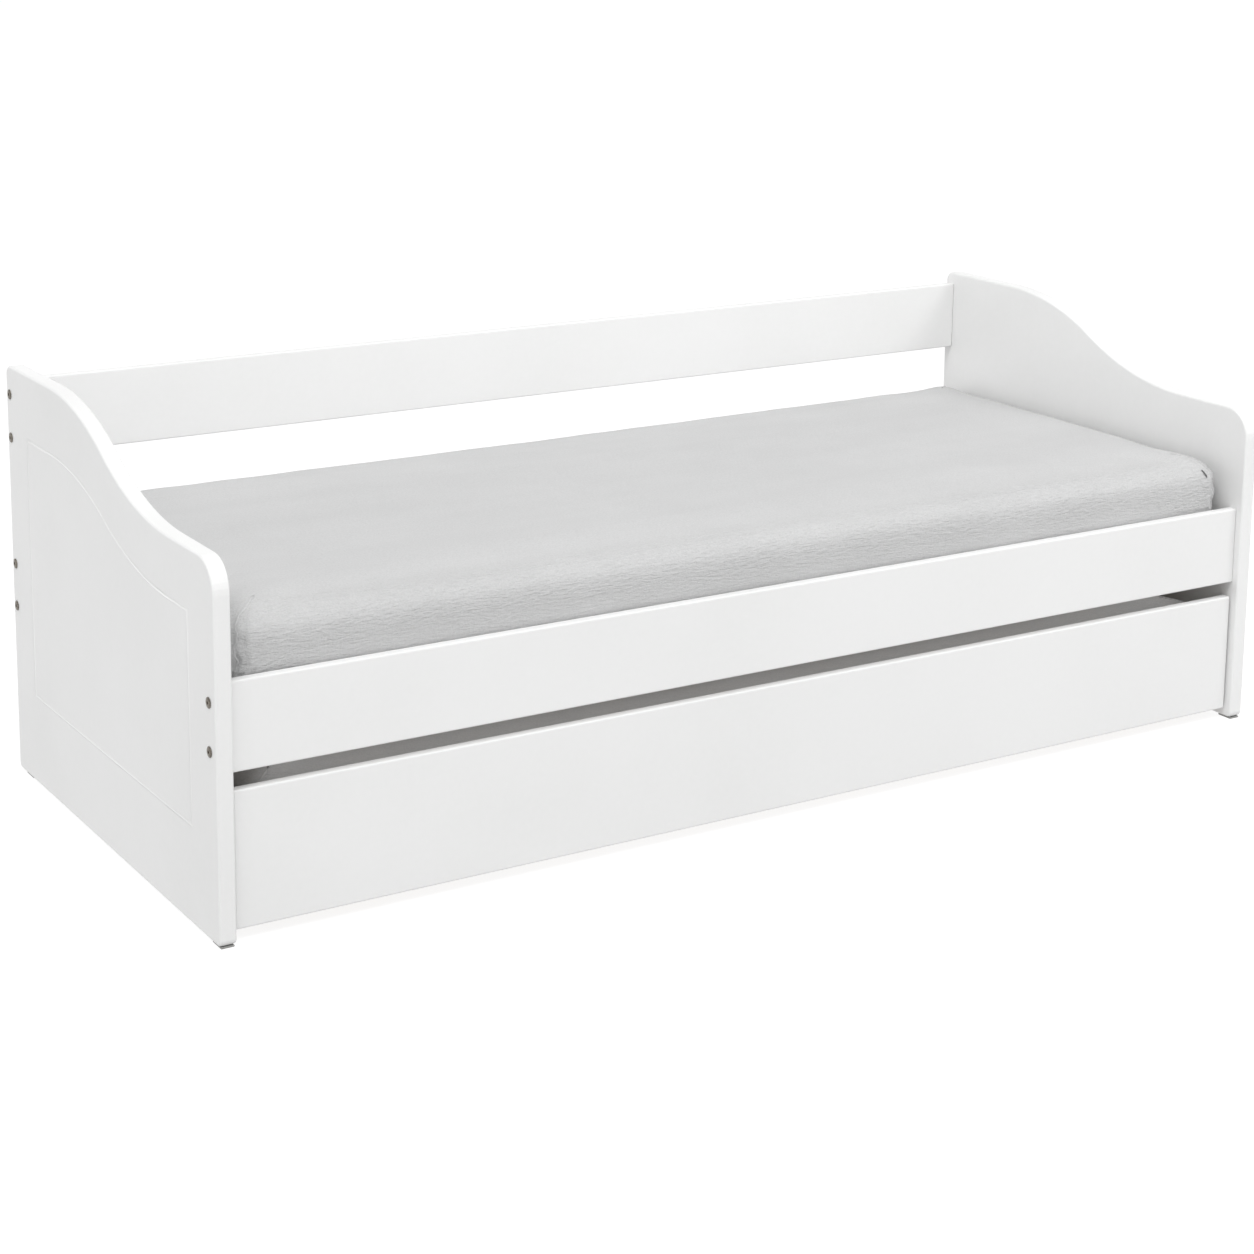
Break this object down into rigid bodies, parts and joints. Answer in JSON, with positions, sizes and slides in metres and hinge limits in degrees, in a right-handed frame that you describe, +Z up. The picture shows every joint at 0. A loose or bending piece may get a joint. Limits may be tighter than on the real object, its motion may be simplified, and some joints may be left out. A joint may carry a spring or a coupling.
{
  "type": "trundle bed",
  "caption": "Daybed with S-curved end panels, a back rail, a sheeted mattress and a second low bed that rolls out from under it on wheels.",
  "frame": {"origin": "on the floor, at the middle of the bed's length and depth", "axes": "+X along the bed to its right end, +Y to its back, +Z up; the trundle comes out to the front, along -Y"},
  "size_m": [2.0906, 0.895, 0.731],
  "materials": {
    "white_lacquer": "white satin lacquer on board",
    "slat_pine": "bare planed pine",
    "sheet_fabric": "light grey cotton jersey sheet over a foam mattress",
    "bolt_steel": "dark bronzed steel",
    "glide_plastic": "dark grey plastic",
    "wheel_plastic": "black nylon",
    "bracket_steel": "zinc plated steel"
  },
  "bodies": {
    "frame": {"left_end_panel": "white_lacquer", "left_front_glide": "glide_plastic", "left_back_glide": "glide_plastic", "left_front_rail_lower_bolt": "bolt_steel", "left_front_rail_upper_bolt": "bolt_steel", "left_lower_back_rail_lower_bolt": "bolt_steel", "left_lower_back_rail_upper_bolt": "bolt_steel", "left_upper_back_rail_lower_bolt": "bolt_steel", "left_upper_back_rail_upper_bolt": "bolt_steel", "right_end_panel": "white_lacquer", "right_front_glide": "glide_plastic", "right_back_glide": "glide_plastic", "right_front_rail_lower_bolt": "bolt_steel", "right_front_rail_upper_bolt": "bolt_steel", "right_lower_back_rail_lower_bolt": "bolt_steel", "right_lower_back_rail_upper_bolt": "bolt_steel", "right_upper_back_rail_lower_bolt": "bolt_steel", "right_upper_back_rail_upper_bolt": "bolt_steel", "front_rail": "white_lacquer", "lower_back_rail": "white_lacquer", "upper_back_rail": "white_lacquer", "front_slat_ledge": "slat_pine", "back_slat_ledge": "slat_pine", "bed_slat_01": "slat_pine", "bed_slat_02": "slat_pine", "bed_slat_03": "slat_pine", "bed_slat_04": "slat_pine", "bed_slat_05": "slat_pine", "bed_slat_06": "slat_pine", "bed_slat_07": "slat_pine", "bed_slat_08": "slat_pine", "bed_slat_09": "slat_pine", "bed_slat_10": "slat_pine", "main_mattress": "sheet_fabric"},
    "trundle": {"trundle_front": "white_lacquer", "trundle_back": "white_lacquer", "trundle_left_side": "white_lacquer", "trundle_right_side": "white_lacquer", "trundle_left_bearer": "slat_pine", "trundle_right_bearer": "slat_pine", "trundle_front_slat_ledge": "slat_pine", "trundle_back_slat_ledge": "slat_pine", "trundle_slat_01": "slat_pine", "trundle_slat_02": "slat_pine", "trundle_slat_03": "slat_pine", "trundle_slat_04": "slat_pine", "trundle_slat_05": "slat_pine", "trundle_slat_06": "slat_pine", "trundle_slat_07": "slat_pine", "trundle_slat_08": "slat_pine", "trundle_mattress": "sheet_fabric", "front_left_wheel_bracket": "bracket_steel", "front_right_wheel_bracket": "bracket_steel", "back_left_wheel_bracket": "bracket_steel", "back_right_wheel_bracket": "bracket_steel"},
    "front_left_wheel_body": {"front_left_wheel": "wheel_plastic"},
    "front_right_wheel_body": {"front_right_wheel": "wheel_plastic"},
    "back_left_wheel_body": {"back_left_wheel": "wheel_plastic"},
    "back_right_wheel_body": {"back_right_wheel": "wheel_plastic"}
  },
  "joints": [
    {"name": "trundle_slide", "type": "slide", "parent": "frame", "child": "trundle", "axis": [0, -1, 0], "range_m": [0, 0.9]},
    {"name": "front_left_wheel_spin", "type": "hinge", "parent": "trundle", "child": "front_left_wheel_body", "pos_m": [-0.8, -0.3175, 0.025], "axis": [1, 0, 0], "continuous": true},
    {"name": "front_right_wheel_spin", "type": "hinge", "parent": "trundle", "child": "front_right_wheel_body", "pos_m": [0.8, -0.3175, 0.025], "axis": [1, 0, 0], "continuous": true},
    {"name": "back_left_wheel_spin", "type": "hinge", "parent": "trundle", "child": "back_left_wheel_body", "pos_m": [-0.8, 0.2975, 0.025], "axis": [1, 0, 0], "continuous": true},
    {"name": "back_right_wheel_spin", "type": "hinge", "parent": "trundle", "child": "back_right_wheel_body", "pos_m": [0.8, 0.2975, 0.025], "axis": [1, 0, 0], "continuous": true}
  ],
  "couplings": [
    {"joint": "front_left_wheel_spin", "follows": "trundle_slide", "rad_per_m": 40},
    {"joint": "front_right_wheel_spin", "follows": "trundle_slide", "rad_per_m": 40},
    {"joint": "back_left_wheel_spin", "follows": "trundle_slide", "rad_per_m": 40},
    {"joint": "back_right_wheel_spin", "follows": "trundle_slide", "rad_per_m": 40}
  ]
}
